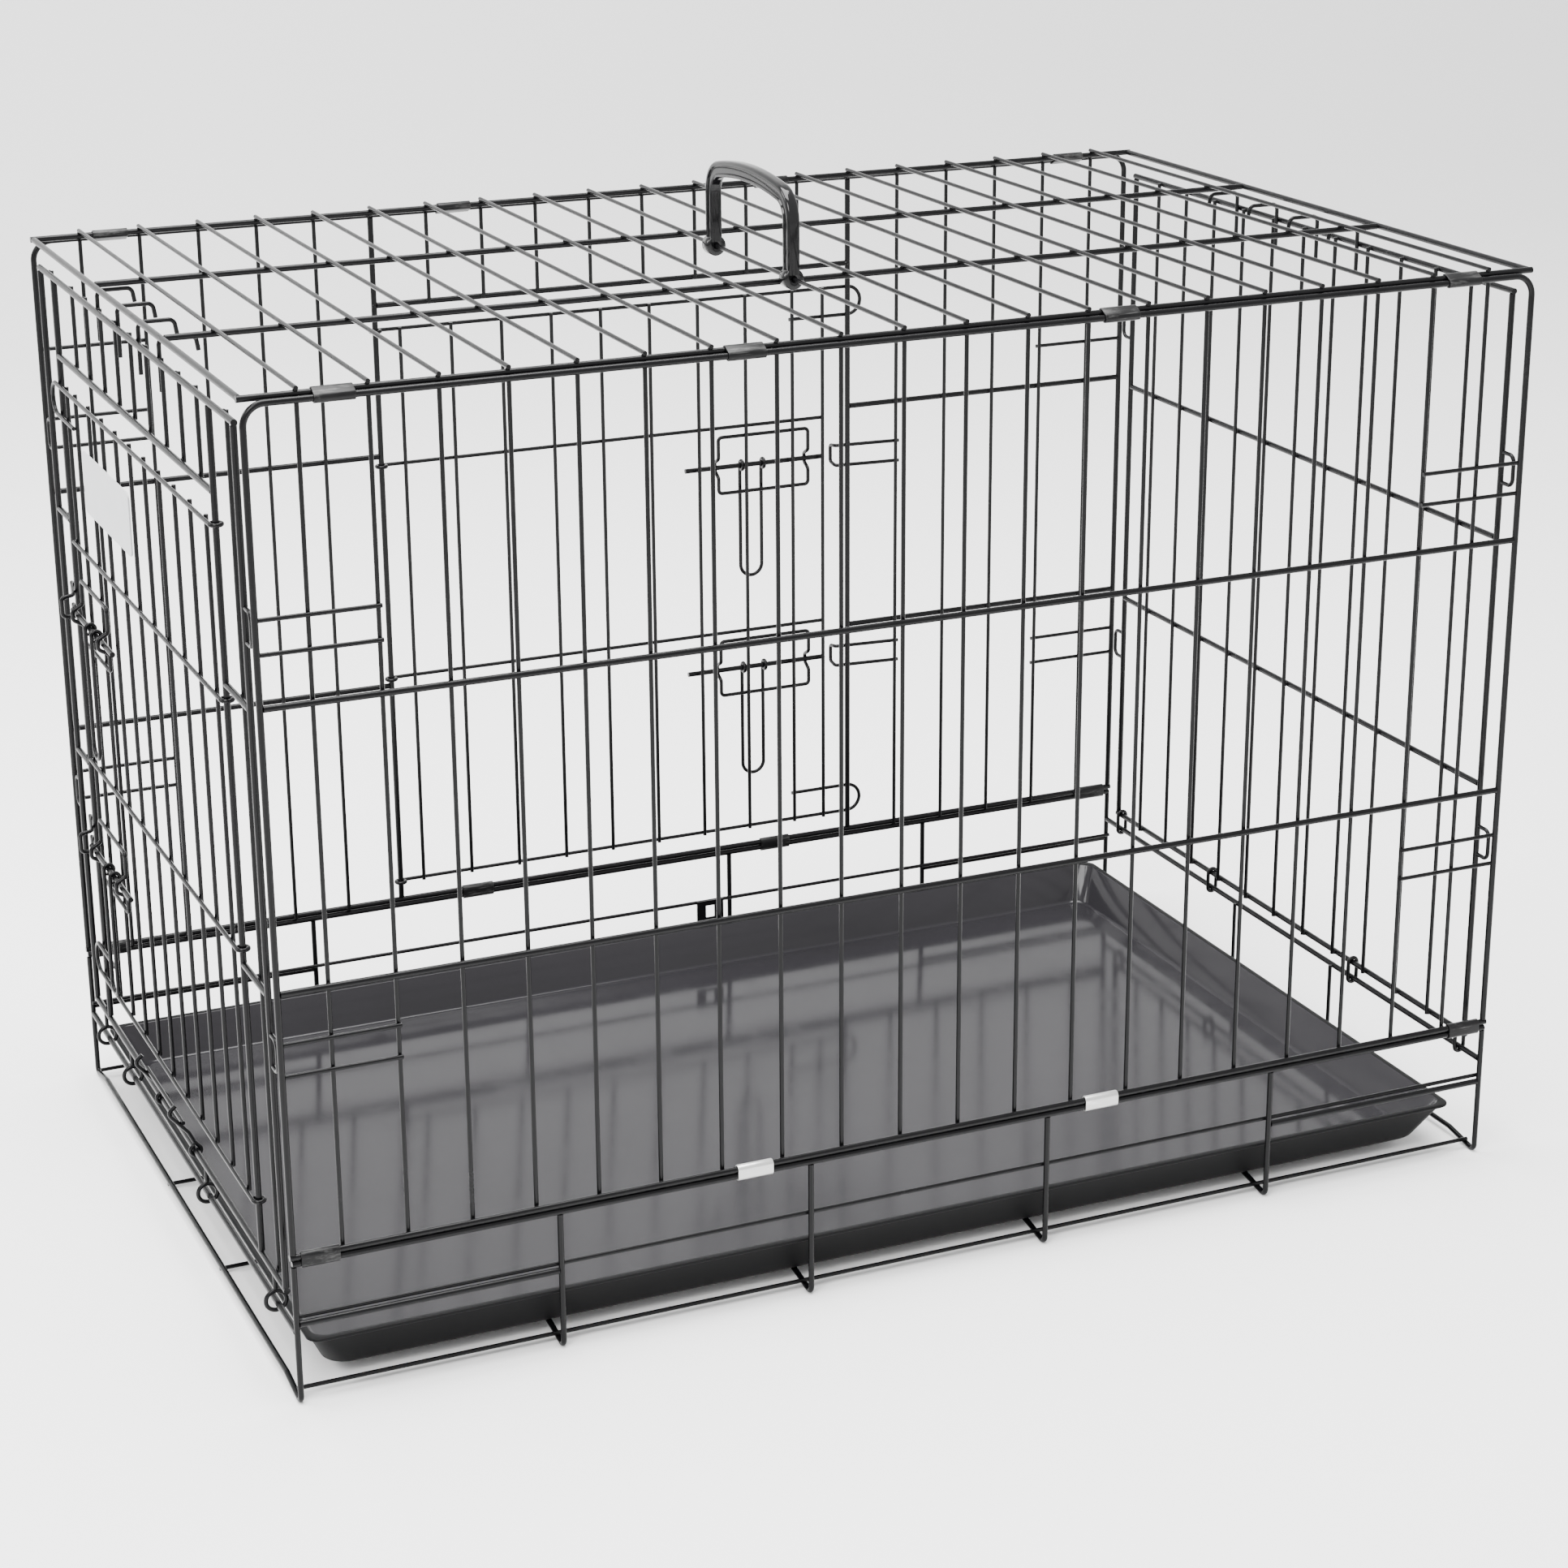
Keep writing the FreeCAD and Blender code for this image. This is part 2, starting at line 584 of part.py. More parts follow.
# the plain right end
RIGHT_BOTTOM = size("right_panel_bottom")
right_wires = end_outline(RIGHT, RIGHT_BOTTOM)
right_wires += [rod(RIGHT.at(EDGES[0] + BUTT, v), RIGHT.at(EDGES[1] - BUTT, v), "frame_wire")
                for v in (287.0, 474.0)]
end_pitch = (EDGES[1] - EDGES[0]) / 12
right_wires += [inner_fill(RIGHT, EDGES[0] + end_pitch * n, RIGHT_BOTTOM, END_TOP) for n in range(1, 12)]
piece("right_end_panel", right_wires)


def hinge_link(side, u, low, high):
    """A long link of wire round a base end wire and the bottom wire of its end panel."""
    reach = FRAME_R + FILL_R + GAP
    middle = (low + high) / 2
    route = [side.at(u, middle, -reach), side.at(u, high + reach, -reach), side.at(u, high + reach, reach),
             side.at(u, low - reach, reach), side.at(u, low - reach, -reach), side.at(u, middle, -reach)]
    return bent(bends(route, reach - 0.01), "fill_wire")


piece("right_end_rings", [hinge_link(RIGHT, u, RIGHT_HINGE, RIGHT_BOTTOM)
                          for u in (27.5, 175.0, 392.0, 548.0)])
piece("right_end_hooks", top_hooks(RIGHT))
piece("right_end_ears", edge_ears(RIGHT))

# the left end, with its own door
LEFT_BOTTOM = size("left_panel_bottom")
LEFT_RING = 7.0
END_HINGE_U = 80.0
END_LATCH_U = 512.0
END_HEADER = 595.0
left_wires = end_outline(LEFT, LEFT_BOTTOM)
for u, w in ((END_HINGE_U, 0.0), (END_LATCH_U, LATCH_IN)):
    left_wires.append(rod(LEFT.at(u, LEFT_BOTTOM + BUTT, w), LEFT.at(u, END_TOP - BUTT, w), "frame_wire"))
left_wires.append(rod(LEFT.at(END_HINGE_U + BUTT, END_HEADER), LEFT.at(END_LATCH_U - BUTT, END_HEADER),
                      "frame_wire"))
for v in (281.0, 471.0):
    left_wires.append(rod(LEFT.at(EDGES[0] + BUTT, v), LEFT.at(END_HINGE_U - BUTT, v), "frame_wire"))
    left_wires.append(rod(LEFT.at(END_LATCH_U + BUTT, v), LEFT.at(EDGES[1] - BUTT, v), "frame_wire"))
SIDE_FILLS = ((EDGES[0] + END_HINGE_U) / 2, (EDGES[1] + END_LATCH_U) / 2)
left_wires += [inner_fill(LEFT, u, LEFT_BOTTOM, END_TOP) for u in SIDE_FILLS]
header_pitch = (END_LATCH_U - END_HINGE_U) / 10
left_wires += [inner_fill(LEFT, END_HINGE_U + header_pitch * n, END_HEADER, END_TOP) for n in range(1, 10)]
piece("left_end_panel", left_wires)
left_rings = []
stub_foot = LEFT_HINGE + LEFT_RING + FILL_R - WELD
for u in (50.0, 225.0, 445.0, 528.0):
    left_rings.append(ring(LEFT.at(u, LEFT_HINGE), LEFT.along, LEFT_RING, "fill_wire"))
    left_rings.append(rod(LEFT.at(u, stub_foot), LEFT.at(u, LEFT_BOTTOM - FRAME_R + 0.02), "fill_wire"))
piece("left_end_rings", left_rings)
piece("left_end_hooks", top_hooks(LEFT))
piece("left_end_ears", edge_ears(LEFT))

END_DOOR_BARS = (112.0, 292.0, 461.0, 575.0)
END_BOLTS = {"upper": 409.0, "lower": 223.0}
piece("end_door", door_wires(LEFT, END_HINGE_U, END_LATCH_U, END_DOOR_BARS))
piece("end_door_guides", [bolt_guide(LEFT, END_LATCH_U, v) for v in END_BOLTS.values()])
piece("end_door_keepers", [keeper(LEFT, END_LATCH_U, v, SIDE_FILLS[1]) for v in END_BOLTS.values()])
for place, v in END_BOLTS.items():
    piece(f"end_{place}_bolt", [slide_bolt(LEFT, END_LATCH_U, v)])
    piece(f"end_{place}_paddle", [paddle(LEFT, END_LATCH_U, v)])



# ---------------------------------------------------------------------------------- label plate
# A blank plate with rounded corners, held on the face of the end door's fill wires.
PLATE_U = 305.0
PLATE_V = 496.0
plate = doc.addObject("PartDesign::Body", "label_plate")
blank = plate.newObject("PartDesign::AdditiveBox", "plate_blank")
blank.setExpression("Length", "sizes.plate_width")
blank.setExpression("Width", "sizes.plate_height")
blank.setExpression("Height", "sizes.plate_thickness")
doc.recompute()
upright = [f"Edge{n}" for n, edge in enumerate(blank.Shape.Edges, start=1)
           if abs(edge.tangentAt(edge.FirstParameter).z) > 0.9]
rounding = plate.newObject("PartDesign::Fillet", "plate_rounding")
rounding.Base = (blank, upright)
rounding.setExpression("Radius", "sizes.plate_corner")
plate.Tip = rounding
plate_turn = FreeCAD.Rotation(-LEFT.along, UP, LEFT.out, "XYZ")
plate_corner = LEFT.at(PLATE_U + size("plate_width"), PLATE_V, DOOR_FILL_W + FILL_R - 0.01)
plate.Placement = FreeCAD.Placement(plate_corner, plate_turn)
piece("label_plate", [plate])

# ----------------------------------------------------------------------------------------- tray
# A moulded pan with flared walls, rounded corners and a flat lip round its rim.
TRAY_LENGTH = size("tray_length")
TRAY_WIDTH = size("tray_width")
TRAY_DEPTH = size("tray_top") - size("tray_bottom")
TRAY_WALL = size("tray_wall")
TRAY_LIP = size("tray_lip")
TRAY_FLARE = size("tray_flare")


def pan_section(label, inset, height):
    """A rounded rectangle at a height, inset from the rim's outline."""
    half_x = TRAY_LENGTH / 2 - inset
    half_y = TRAY_WIDTH / 2 - inset
    radius = size("tray_corner") + inset * 0.4
    turns = ((1, 1), (-1, 1), (-1, -1), (1, -1))
    centres = [V(sx * (half_x - radius), sy * (half_y - radius), height) for sx, sy in turns]
    arcs = [
        curl(centre, V(1, 0, 0), V(0, 1, 0), radius, 90 * n, 90 * n + 90)
        for n, centre in enumerate(centres)
    ]
    edges = []
    for n, arc in enumerate(arcs):
        edges.append(arc)
        onward = arcs[(n + 1) % 4]
        edges.append(Part.LineSegment(arc.valueAt(arc.LastParameter),
                                      onward.valueAt(onward.FirstParameter)).toShape())
    section = doc.addObject("Part::Feature", label)
    section.Shape = Part.Wire(edges)
    return section


def pan_loft(label, sections):
    loft = doc.addObject("Part::Loft", label)
    loft.Sections = sections
    loft.Solid = True
    loft.Ruled = True
    return loft


outside = pan_loft("pan_outside", [
    pan_section("outside_low", TRAY_LIP + TRAY_FLARE, 0),
    pan_section("outside_high", TRAY_LIP, TRAY_DEPTH),
])
lip = pan_loft("pan_lip", [
    pan_section("lip_low", 0, TRAY_DEPTH - TRAY_WALL),
    pan_section("lip_high", 0, TRAY_DEPTH),
])
steep = TRAY_FLARE / TRAY_DEPTH
inside = pan_loft("pan_inside", [
    pan_section("inside_low", TRAY_LIP + TRAY_FLARE + TRAY_WALL - TRAY_WALL * steep, TRAY_WALL),
    pan_section("inside_high", TRAY_LIP + TRAY_WALL - steep, TRAY_DEPTH + 1),
])
whole = doc.addObject("Part::MultiFuse", "pan_block")
whole.Shapes = [outside, lip]
tray = doc.addObject("Part::Cut", "tray")
tray.Base = whole
tray.Tool = inside
tray.Placement.Base = FRONT.at(size("tray_front") + TRAY_LENGTH / 2, size("tray_bottom"), -DEPTH / 2)
piece("tray", [tray])

# The tray stop: two wire hooks joined across, that turn on the left end panel's bottom wire. It is
# swung up here; swung down, it closes the way the tray slides out.
STOP_SWING = math.radians(140)
STOP_OUT = 6.0
STOP_REACH = 32.0
STOP_TIP = 4.0
STOP_EYE = FRAME_R + FILL_R + GAP
STOP_HOOKS = (253.0, 350.0)


def swung(u, out, down):
    """A point of the tray stop, given where it is with the stop hanging down."""
    w = out * math.cos(STOP_SWING) + down * math.sin(STOP_SWING)
    rise = out * math.sin(STOP_SWING) - down * math.cos(STOP_SWING)
    return LEFT.at(u, LEFT_BOTTOM + rise, w)


def stop_curl(u, down, radius, first_angle, last_angle):
    """An arc of the stop about a point under the hinge; the angle runs from outwards to down."""
    towards = swung(u, 1, down) - swung(u, 0, down)
    sideways = swung(u, 0, down + 1) - swung(u, 0, down)
    return curl(swung(u, 0, down), towards, sideways, radius, first_angle, last_angle)


stop_wires = []
for u in STOP_HOOKS:
    eye = stop_curl(u, 0, STOP_EYE, -300, 0)
    eye_end = eye.valueAt(eye.LastParameter)
    leg_route = [
        eye_end,
        swung(u, STOP_EYE, 6.0),
        swung(u, STOP_OUT, 14.0),
        swung(u, STOP_OUT, STOP_REACH + STOP_TIP),
        swung(u, STOP_OUT + 2 * STOP_TIP, STOP_REACH + STOP_TIP),
    ]
    stop_wires.append(bent([eye] + bends(leg_route, STOP_TIP), "fill_wire"))
bar_out = STOP_OUT + 2 * FILL_R - WELD
stop_wires.append(rod(swung(STOP_HOOKS[0] - 4, bar_out, 24.0), swung(STOP_HOOKS[1] + 4, bar_out, 24.0),
                      "fill_wire"))
piece("tray_stop", stop_wires)

# --------------------------------------------------------------------------------- carry handle
# A moulded arch over two feet that turn on one of the top panel's cross wires.
HANDLE_U = FILLS[9]
HANDLE_Y = 182.0
HANDLE_HEIGHT = size("handle_height")
FOOT_GAP = size("handle_foot_gap")
HALF_GAP = FOOT_GAP / 2
SHOULDER = HANDLE_HEIGHT - 7.0
arch_route = [V(0, -HALF_GAP, 5), V(0, -HALF_GAP, SHOULDER), V(0, -HALF_GAP / 2, HANDLE_HEIGHT),
              V(0, HALF_GAP / 2, HANDLE_HEIGHT), V(0, HALF_GAP, SHOULDER), V(0, HALF_GAP, 5)]
arch_edges = bends(arch_route, 18.0)
arch_path = doc.addObject("Part::Feature", "arch_path")
arch_path.Shape = Part.Wire(arch_edges)
grip_section = doc.addObject("Part::Ellipse", "grip_section")
grip_section.setExpression("MajorRadius", "sizes.handle_half_depth")
grip_section.setExpression("MinorRadius", "sizes.handle_half_width")
grip_section.Placement = FreeCAD.Placement(arch_route[0], FreeCAD.Rotation(UP, 90))
arch = doc.addObject("Part::Sweep", "arch")
arch.Sections = [grip_section]
arch.Spine = (arch_path, [f"Edge{n}" for n in range(1, len(arch_edges) + 1)])
arch.Solid = True


def foot_round(label, y, width):
    """A round about the hinge wire's line, centred on y."""
    turn = doc.addObject("Part::Cylinder", label)
    turn.Height = width
    turn.Placement = FreeCAD.Placement(V(0, y - width / 2, 0), FreeCAD.Rotation(UP, V(0, 1, 0)))
    return turn


handle_parts = [arch]
bores = []
for y in (-HALF_GAP, HALF_GAP):
    boss = foot_round("boss", y, size("handle_foot_width"))
    boss.setExpression("Radius", "sizes.handle_foot_radius")
    handle_parts.append(boss)
    bore = foot_round("bore", y, size("handle_foot_width") + 2)
    bore.setExpression("Radius", "sizes.fill_wire / 2 + sizes.run_gap")
    bores.append(bore)
handle_block = doc.addObject("Part::MultiFuse", "handle_block")
handle_block.Shapes = handle_parts
handle_bores = doc.addObject("Part::MultiFuse", "handle_bores")
handle_bores.Shapes = bores
handle = doc.addObject("Part::Cut", "carry_handle")
handle.Base = handle_block
handle.Tool = handle_bores
handle.Placement.Base = FRONT.at(HANDLE_U, TOP_CROSS, -HANDLE_Y - HALF_GAP)
piece("carry_handle", [handle])

# -------------------------------------------------------------------------------- check and write
doc.recompute()
faults = [obj.Name for obj in doc.Objects if "Invalid" in obj.State or "Error" in obj.State]
if faults:
    raise RuntimeError("not built: " + ", ".join(faults))
for part in subparts:
    if part.Shape.isNull() or not part.Shape.isValid() or not part.Shape.Solids:
        raise RuntimeError("bad shape: " + part.Label)
for part in subparts:
    part.Shape.exportStep(f"parts/{part.Label}.step")
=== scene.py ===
import bpy
import bmesh
import json
import math
from mathutils import Matrix, Vector


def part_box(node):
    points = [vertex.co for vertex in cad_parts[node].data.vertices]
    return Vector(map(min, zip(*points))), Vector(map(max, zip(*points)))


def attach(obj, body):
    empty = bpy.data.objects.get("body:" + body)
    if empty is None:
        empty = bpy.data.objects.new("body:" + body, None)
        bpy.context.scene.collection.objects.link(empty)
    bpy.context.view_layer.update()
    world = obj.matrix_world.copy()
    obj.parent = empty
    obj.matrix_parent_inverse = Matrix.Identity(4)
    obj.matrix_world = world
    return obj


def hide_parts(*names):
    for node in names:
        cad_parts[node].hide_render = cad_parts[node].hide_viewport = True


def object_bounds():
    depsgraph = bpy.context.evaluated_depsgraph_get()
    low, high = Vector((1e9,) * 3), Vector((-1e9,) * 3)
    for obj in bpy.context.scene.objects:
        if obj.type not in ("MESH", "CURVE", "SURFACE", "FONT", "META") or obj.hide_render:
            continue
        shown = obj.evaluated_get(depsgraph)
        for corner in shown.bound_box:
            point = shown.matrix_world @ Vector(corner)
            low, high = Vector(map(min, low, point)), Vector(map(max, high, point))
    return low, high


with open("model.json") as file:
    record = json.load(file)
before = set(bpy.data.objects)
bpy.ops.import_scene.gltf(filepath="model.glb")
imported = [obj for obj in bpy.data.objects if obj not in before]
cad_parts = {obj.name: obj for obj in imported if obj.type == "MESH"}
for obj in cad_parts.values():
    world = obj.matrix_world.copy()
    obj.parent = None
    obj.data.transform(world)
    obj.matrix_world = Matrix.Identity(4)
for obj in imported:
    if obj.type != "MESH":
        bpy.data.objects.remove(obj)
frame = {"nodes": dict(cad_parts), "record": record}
cad_low, cad_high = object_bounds()


# --- Room ---------------------------------------------------------------------------------------
# The crate stands on a plain pale floor that runs up into a pale backdrop, in a bright room. The
# light comes from three large soft sources: overhead, at the front left and at the rear left.
def aim(thing, place, target):
    thing.location = place
    thing.rotation_mode = "QUATERNION"
    thing.rotation_quaternion = (Vector(target) - Vector(place)).to_track_quat("-Z", "Y")


def soft_light(name, place, target, width, power, tint):
    lamp = bpy.data.lights.new(name, "AREA")
    lamp.shape = "SQUARE"
    lamp.size = width
    lamp.energy = power
    lamp.color = tint
    holder = bpy.data.objects.new(name, lamp)
    bpy.context.scene.collection.objects.link(holder)
    aim(holder, place, target)


VIEW_AZIMUTH = math.radians(-23.18)
VIEW_ELEVATION = math.radians(18.02)
VIEW_ROLL = math.radians(-0.37)
VIEW_DISTANCE = 2.549
middle = Vector(((cad_low.x + cad_high.x) / 2 + 0.0026, 0.0, 0.339))
back = Vector((math.sin(VIEW_AZIMUTH) * math.cos(VIEW_ELEVATION),
               -math.cos(VIEW_AZIMUTH) * math.cos(VIEW_ELEVATION), math.sin(VIEW_ELEVATION)))
sideways = Vector((0, 0, 1)).cross(back).normalized()
upwards = back.cross(sideways)
eye = middle + back * VIEW_DISTANCE
look_at = middle + sideways * 0.0211 - upwards * 0.0669
lens = bpy.data.cameras.new("camera")
lens.sensor_width = 36.0
lens.lens = 78.5
camera = bpy.data.objects.new("camera", lens)
bpy.context.scene.collection.objects.link(camera)
aim(camera, eye, look_at)
roll = Matrix.Rotation(VIEW_ROLL, 3, "Z").to_quaternion()
camera.rotation_quaternion = camera.rotation_quaternion @ roll
bpy.context.scene.camera = camera

world = bpy.data.worlds.new("room")
bpy.context.scene.world = world
world.use_nodes = True
world.node_tree.nodes["Background"].inputs["Color"].default_value = (1.0, 1.0, 1.0, 1.0)
world.node_tree.nodes["Background"].inputs["Strength"].default_value = 1.45
soft_light("overhead_light", (-0.2, 0.1, 3.2), (0, 0, 0.3), 2.2, 300.0, (1.0, 1.0, 1.0))
soft_light("key_light", (-1.9, -2.0, 2.7), (0, 0, 0.3), 1.4, 110.0, (1.0, 0.99, 0.98))
soft_light("side_light", (-3.0, 1.4, 2.4), (0, 0, 0.3), 1.4, 80.0, (1.0, 1.0, 1.0))


# The class below joins node sockets with plain arithmetic, so a finish reads as a formula.
class Tone:
    """A value in a material's node tree."""

    def __init__(self, finish, socket):
        self.finish = finish
        self.socket = socket

    def math(self, operation, *others, clamp=False):
        node = self.finish.tree.nodes.new("ShaderNodeMath")
        node.operation = operation
        node.use_clamp = clamp
        for slot, other in enumerate((self,) + others):
            self.finish.feed(node.inputs[slot], other)
        return Tone(self.finish, node.outputs[0])

    def __add__(self, other):
        return self.math("ADD", other)

    def __radd__(self, other):
        return self.math("ADD", other)

    def __sub__(self, other):
        return self.math("SUBTRACT", other)

    def __rsub__(self, other):
        return (self * -1.0) + other

    def __mul__(self, other):
        return self.math("MULTIPLY", other)

    def __rmul__(self, other):
        return self.math("MULTIPLY", other)

    def __truediv__(self, other):
        return self.math("DIVIDE", other)

    def between(self, low, high):
        """0 at low and 1 at high, clamped."""
        return ((self - low) / (high - low)).math("ADD", 0.0, clamp=True)


class Finish:
    """A material whose varying inputs come from nodes."""

    def __init__(self, name):
        self.material = bpy.data.materials.new(name)
        self.material.use_nodes = True
        self.tree = self.material.node_tree
        self.shader = self.tree.nodes["Principled BSDF"]
        self.place = self.add("ShaderNodeTexCoord", {}, {}, "Object")

    def feed(self, socket, value):
        if isinstance(value, Tone):
            self.tree.links.new(value.socket, socket)
        else:
            socket.default_value = value

    def add(self, kind, settings, sockets, output=0):
        """A node of any kind: its settings first, then what its sockets get."""
        node = self.tree.nodes.new(kind)
        for key, value in settings.items():
            setattr(node, key, value)
        for key, value in sockets.items():
            self.feed(node.inputs[key], value)
        return Tone(self, node.outputs[output])

    def noise(self, scale, detail=3.0, rough=0.55, stretch=(1, 1, 1)):
        placed = self.add("ShaderNodeMapping", {}, {"Vector": self.place, "Scale": stretch})
        return self.add("ShaderNodeTexNoise", {}, {"Vector": placed, "Scale": scale, "Detail": detail,
                                                   "Roughness": rough})

    def blend(self, factor, dark, light):
        return self.add("ShaderNodeMix", {"data_type": "RGBA"}, {0: factor, 6: dark, 7: light}, 2)

    def bump(self, height, strength, depth):
        return self.add("ShaderNodeBump", {}, {"Height": height, "Strength": strength, "Distance": depth})

    def set(self, **sockets):
        for key, value in sockets.items():
            self.feed(self.shader.inputs[key.replace("_", " ")], value)


def dress(names, finish):
    """Gives CAD nodes a finish in every material slot."""
    for name in names:
        for holder in frame["nodes"][name].material_slots:
            holder.material = finish.material


floor_mesh = bpy.data.meshes.new("floor")
floor_form = bmesh.new()
profile = [(-6.0, 0.0), (3.0, 0.0)]
profile += [(3.0 + 1.5 * math.sin(a), 1.5 - 1.5 * math.cos(a))
            for a in [math.radians(15 * n) for n in range(1, 7)]]
profile.append((4.5, 6.0))
rows = [[floor_form.verts.new((x, y, z)) for y, z in profile] for x in (-8.0, 8.0)]
for n in range(len(profile) - 1):
    floor_form.faces.new((rows[0][n], rows[1][n], rows[1][n + 1], rows[0][n + 1]))
floor_form.to_mesh(floor_mesh)
floor_form.free()
floor_mesh.shade_smooth()
floor_piece = bpy.data.objects.new("floor", floor_mesh)
bpy.context.scene.collection.objects.link(floor_piece)
paper = Finish("pale_paper")
paper.set(Base_Color=(0.93, 0.93, 0.93, 1.0), Roughness=0.9)
floor_mesh.materials.append(paper.material)

# --- Wires --------------------------------------------------------------------------------------
# Drawn steel wire, spot welded where it crosses, then dipped as whole panels in a black baked
# coating. The coating is thin and deep black, with a fine orange peel and a few rubbed patches.
wire_coat = Finish("black_wire_coating")
mottle = wire_coat.noise(34.0, 4.0)
peel = wire_coat.noise(900.0, 2.0)
rub = wire_coat.noise(11.0, 5.0, 0.7).between(0.63, 0.72)
grain = wire_coat.noise(260.0, 4.0, 0.6).between(0.42, 0.75)
wire_colour = wire_coat.blend(mottle, (0.0012, 0.0012, 0.0014, 1), (0.004, 0.004, 0.0045, 1))
wire_coat.set(
    Base_Color=wire_coat.blend(rub * grain * 0.4, wire_colour, (0.03, 0.03, 0.032, 1)),
    Roughness=0.20 + mottle * 0.10 + rub * grain * 0.15,
    Normal=wire_coat.bump(peel, 0.25, 0.00008),
)
wire_coat.shader.inputs["Specular IOR Level"].default_value = 0.16
WIRE_NODES = [
    part["node"] for part in frame["record"]["subparts"] if part["material_slot"] == "black_wire"
]
dress(WIRE_NODES, wire_coat)

# --- Weld spots ---------------------------------------------------------------------------------
# Where two wires cross, the spot weld squeezes a small bead of steel out on either side, and the
# coating fills it in. Each bead is a small flattened blob in the crossing, the same on every panel.
MM = 0.001
FILL_PITCH = 44.5 * MM
FIRST_FILL = 34.3 * MM
HEAVY_RADIUS = 2.2 * MM


def in_tree(tree, kind, settings, sockets, output=0):
    """A geometry node: its settings first, then what its sockets get. Gives one output socket."""
    node = tree.nodes.new(kind)
    for key, value in settings.items():
        setattr(node, key, value)
    for key, value in sockets.items():
        if isinstance(value, bpy.types.NodeSocket):
            tree.links.new(value, node.inputs[key])
        else:
            node.inputs[key].default_value = value
    return node.outputs[output]


def new_tree(name, sizes, material):
    """An empty geometry tree with one mesh input, the named sizes, and a maker for its end."""
    tree = bpy.data.node_groups.new(name, "GeometryNodeTree")
    tree.interface.new_socket("Geometry", in_out="INPUT", socket_type="NodeSocketGeometry")
    tree.interface.new_socket("Geometry", in_out="OUTPUT", socket_type="NodeSocketGeometry")
    for label, (kind, value) in sizes.items():
        entry = tree.interface.new_socket(label, in_out="INPUT", socket_type=kind)
        entry.default_value = value
    start = tree.nodes.new("NodeGroupInput")

    def end(geometry):
        whole = in_tree(tree, "GeometryNodeRealizeInstances", {}, {"Geometry": geometry})
        smooth = in_tree(tree, "GeometryNodeSetShadeSmooth", {}, {"Geometry": whole})
        done = in_tree(tree, "GeometryNodeSetMaterial", {}, {"Geometry": smooth, "Material": material})
        finish = tree.nodes.new("NodeGroupOutput")
        tree.links.new(done, finish.inputs[0])

    return tree, start, end


def grow(name, tree, points, settings, body):
    """Runs a tree on a set of points and keeps the result as a plain mesh that rides on a body."""
    seed_mesh = bpy.data.meshes.new(name + "_points")
    seed_mesh.from_pydata([tuple(point) for point in points], [], [])
    seed = bpy.data.objects.new(name + "_points", seed_mesh)
    bpy.context.scene.collection.objects.link(seed)
    modifier = seed.modifiers.new("grow", "NODES")
    modifier.node_group = tree
    labels = {item.name: item.identifier for item in tree.interface.items_tree if item.in_out == "INPUT"}
    for label, value in settings.items():
        modifier[labels[label]] = value
    seed.update_tag()
    graph = bpy.context.evaluated_depsgraph_get()
    made = bpy.data.meshes.new_from_object(seed.evaluated_get(graph))
    bpy.data.objects.remove(seed)
    made.name = name
    piece = bpy.data.objects.new(name, made)
    bpy.context.scene.collection.objects.link(piece)
    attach(piece, body)
    return piece


bead_tree, bead_in, bead_end = new_tree(
    "weld_bead", {"Bead size": ("NodeSocketFloat", 0.0011),
                  "Spread": ("NodeSocketVector", (1.0, 1.0, 1.0)),
                  "Seed": ("NodeSocketInt", 3)}, wire_coat.material)
bead_ball = in_tree(bead_tree, "GeometryNodeMeshIcoSphere", {}, {"Radius": bead_in.outputs["Bead size"],
                                                                "Subdivisions": 2})
bead_ball = in_tree(bead_tree, "GeometryNodeTransform", {}, {"Geometry": bead_ball,
                                                            "Scale": bead_in.outputs["Spread"]})
bead_vary = in_tree(bead_tree, "FunctionNodeRandomValue", {"data_type": "FLOAT"},
                    {"Min": 0.8, "Max": 1.15, "Seed": bead_in.outputs["Seed"]}, 1)
bead_end(in_tree(bead_tree, "GeometryNodeInstanceOnPoints", {},
                 {"Points": bead_in.outputs["Geometry"], "Instance": bead_ball, "Scale": bead_vary}))

front_low, front_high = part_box("front_panel")
rear_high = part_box("rear_panel")[1]
top_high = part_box("top_panel")[1]
left_x = front_low.x + HEAVY_RADIUS
right_x = front_high.x - HEAVY_RADIUS
front_y = front_low.y + HEAVY_RADIUS
rear_y = rear_high.y - HEAVY_RADIUS
fill_xs = [left_x + FIRST_FILL + FILL_PITCH * n for n in range(20)]
SIDE_BARS = [106.7 * MM, 290.0 * MM, 478.0 * MM, 667.0 * MM]
SPOT_IN = 2.15 * MM
BEAD_SIZE = 1.45 * MM
SIDE_SPREAD = (1.25, 0.95, 1.25)
END_SPREAD = (0.95, 1.25, 1.25)
SEAM_STEP = 4.9 * MM
TOP_LONG_WIRES = (192.0 * MM, 384.0 * MM)
ABOVE_DOORWAY = (597.0 * MM, 667.0 * MM)
DOORWAY_START = left_x + 253.0 * MM
DOORWAY_END = left_x + 664.0 * MM
top_spot_z = top_high.z - 2.95 * MM
spots = []
for x in fill_xs:
    spots += [(x, front_y + SPOT_IN, z) for z in SIDE_BARS]
    spots += [(x, front_y + SEAM_STEP, top_spot_z), (x, rear_y - SEAM_STEP, top_spot_z)]
    spots += [(x, front_y + y, top_spot_z) for y in TOP_LONG_WIRES]
    beside_doorway = x < DOORWAY_START or x > DOORWAY_END
    spots += [(x, rear_y - SPOT_IN, z) for z in (SIDE_BARS if beside_doorway else ABOVE_DOORWAY)]
grow("frame_weld_beads", bead_tree, spots, {"Bead size": BEAD_SIZE, "Spread": SIDE_SPREAD, "Seed": 5},
     "frame")

